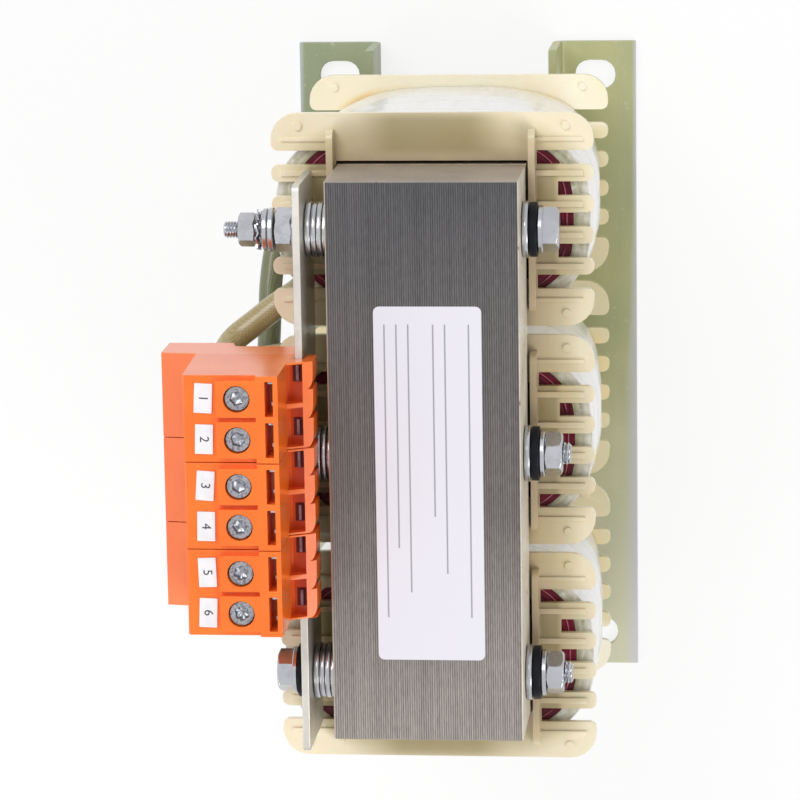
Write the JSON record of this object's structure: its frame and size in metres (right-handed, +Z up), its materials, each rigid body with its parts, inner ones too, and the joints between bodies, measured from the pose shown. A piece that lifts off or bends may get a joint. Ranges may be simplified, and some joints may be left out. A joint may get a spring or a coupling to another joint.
{
  "type": "three-phase line reactor",
  "caption": "Laminated core with wound coils on comb-flanged bobbins, screw terminals on a zinc plate and slotted angle feet.",
  "frame": {"origin": "middle of the footprint, on the plane that the feet stand on", "axes": "+X along the row of coils, +Y from the terminal side to the plain side, +Z up"},
  "size_m": [0.24, 0.1522, 0.2277],
  "materials": {
    "laminations": "stacked sheet edges, dull grey under thin varnish",
    "spacer_board": "resin-bonded glass sheet, matt tan",
    "bobbin_nylon": "moulded ivory nylon, satin, slightly translucent",
    "enamelled_copper": "copper wire under glossy dark red enamel and varnish",
    "insulation_paper": "grey-olive fibrous sheet, mottled with varnish",
    "glass_tape": "white wrap, glossy with varnish",
    "zinc_plate": "bright zinc, lightly brushed",
    "zinc_fastener": "bright zinc",
    "black_insulator": "black moulded, satin",
    "orange_polyamide": "moulded orange, satin",
    "yellow_chromate": "olive-yellow passivated zinc, satin",
    "oiled_sleeve": "varnished woven sleeve, olive"
  },
  "bodies": {
    "root": {"lower_core": "laminations", "upper_yoke": "laminations", "gap_sheet_1": "spacer_board", "gap_sheet_2": "spacer_board", "gap_sheet_3": "spacer_board", "bobbin_1": "bobbin_nylon", "bobbin_2": "bobbin_nylon", "bobbin_3": "bobbin_nylon", "winding_1": "enamelled_copper", "winding_2": "enamelled_copper", "winding_3": "enamelled_copper", "insulation_1": "insulation_paper", "insulation_2": "insulation_paper", "insulation_3": "insulation_paper", "outer_wrap_1": "glass_tape", "outer_wrap_2": "glass_tape", "outer_wrap_3": "glass_tape", "terminal_plate": "zinc_plate", "steel_washer_1": "zinc_fastener", "steel_washer_2": "zinc_fastener", "steel_washer_3": "zinc_fastener", "plate_spacer_1": "zinc_fastener", "plate_spacer_2": "zinc_fastener", "plate_spacer_3": "zinc_fastener", "upper_bolt_1": "zinc_fastener", "upper_bolt_2": "zinc_fastener", "upper_bolt_3": "zinc_fastener", "upper_nut_1": "zinc_fastener", "upper_nut_2": "zinc_fastener", "upper_nut_3": "zinc_fastener", "lower_bolt_1": "zinc_fastener", "lower_bolt_2": "zinc_fastener", "lower_bolt_3": "zinc_fastener", "lower_nut_1": "zinc_fastener", "lower_nut_2": "zinc_fastener", "lower_nut_3": "zinc_fastener", "clamp_screw_1": "zinc_fastener", "clamp_screw_2": "zinc_fastener", "clamp_screw_3": "zinc_fastener", "clamp_screw_4": "zinc_fastener", "clamp_screw_5": "zinc_fastener", "clamp_screw_6": "zinc_fastener", "earth_washers": "zinc_fastener", "earth_nut": "zinc_fastener", "insulating_washer_rear_1": "black_insulator", "insulating_washer_rear_2": "black_insulator", "insulating_washer_rear_3": "black_insulator", "insulating_washer_front_2": "black_insulator", "insulating_washer_front_3": "black_insulator", "terminal_block_1": "orange_polyamide", "terminal_block_2": "orange_polyamide", "terminal_block_3": "orange_polyamide", "foot_front": "yellow_chromate", "foot_rear": "yellow_chromate", "lead_1": "oiled_sleeve", "lead_2": "oiled_sleeve", "lead_3": "oiled_sleeve", "lead_4": "oiled_sleeve", "lead_5": "oiled_sleeve", "lead_6": "oiled_sleeve"}
  },
  "joints": []
}
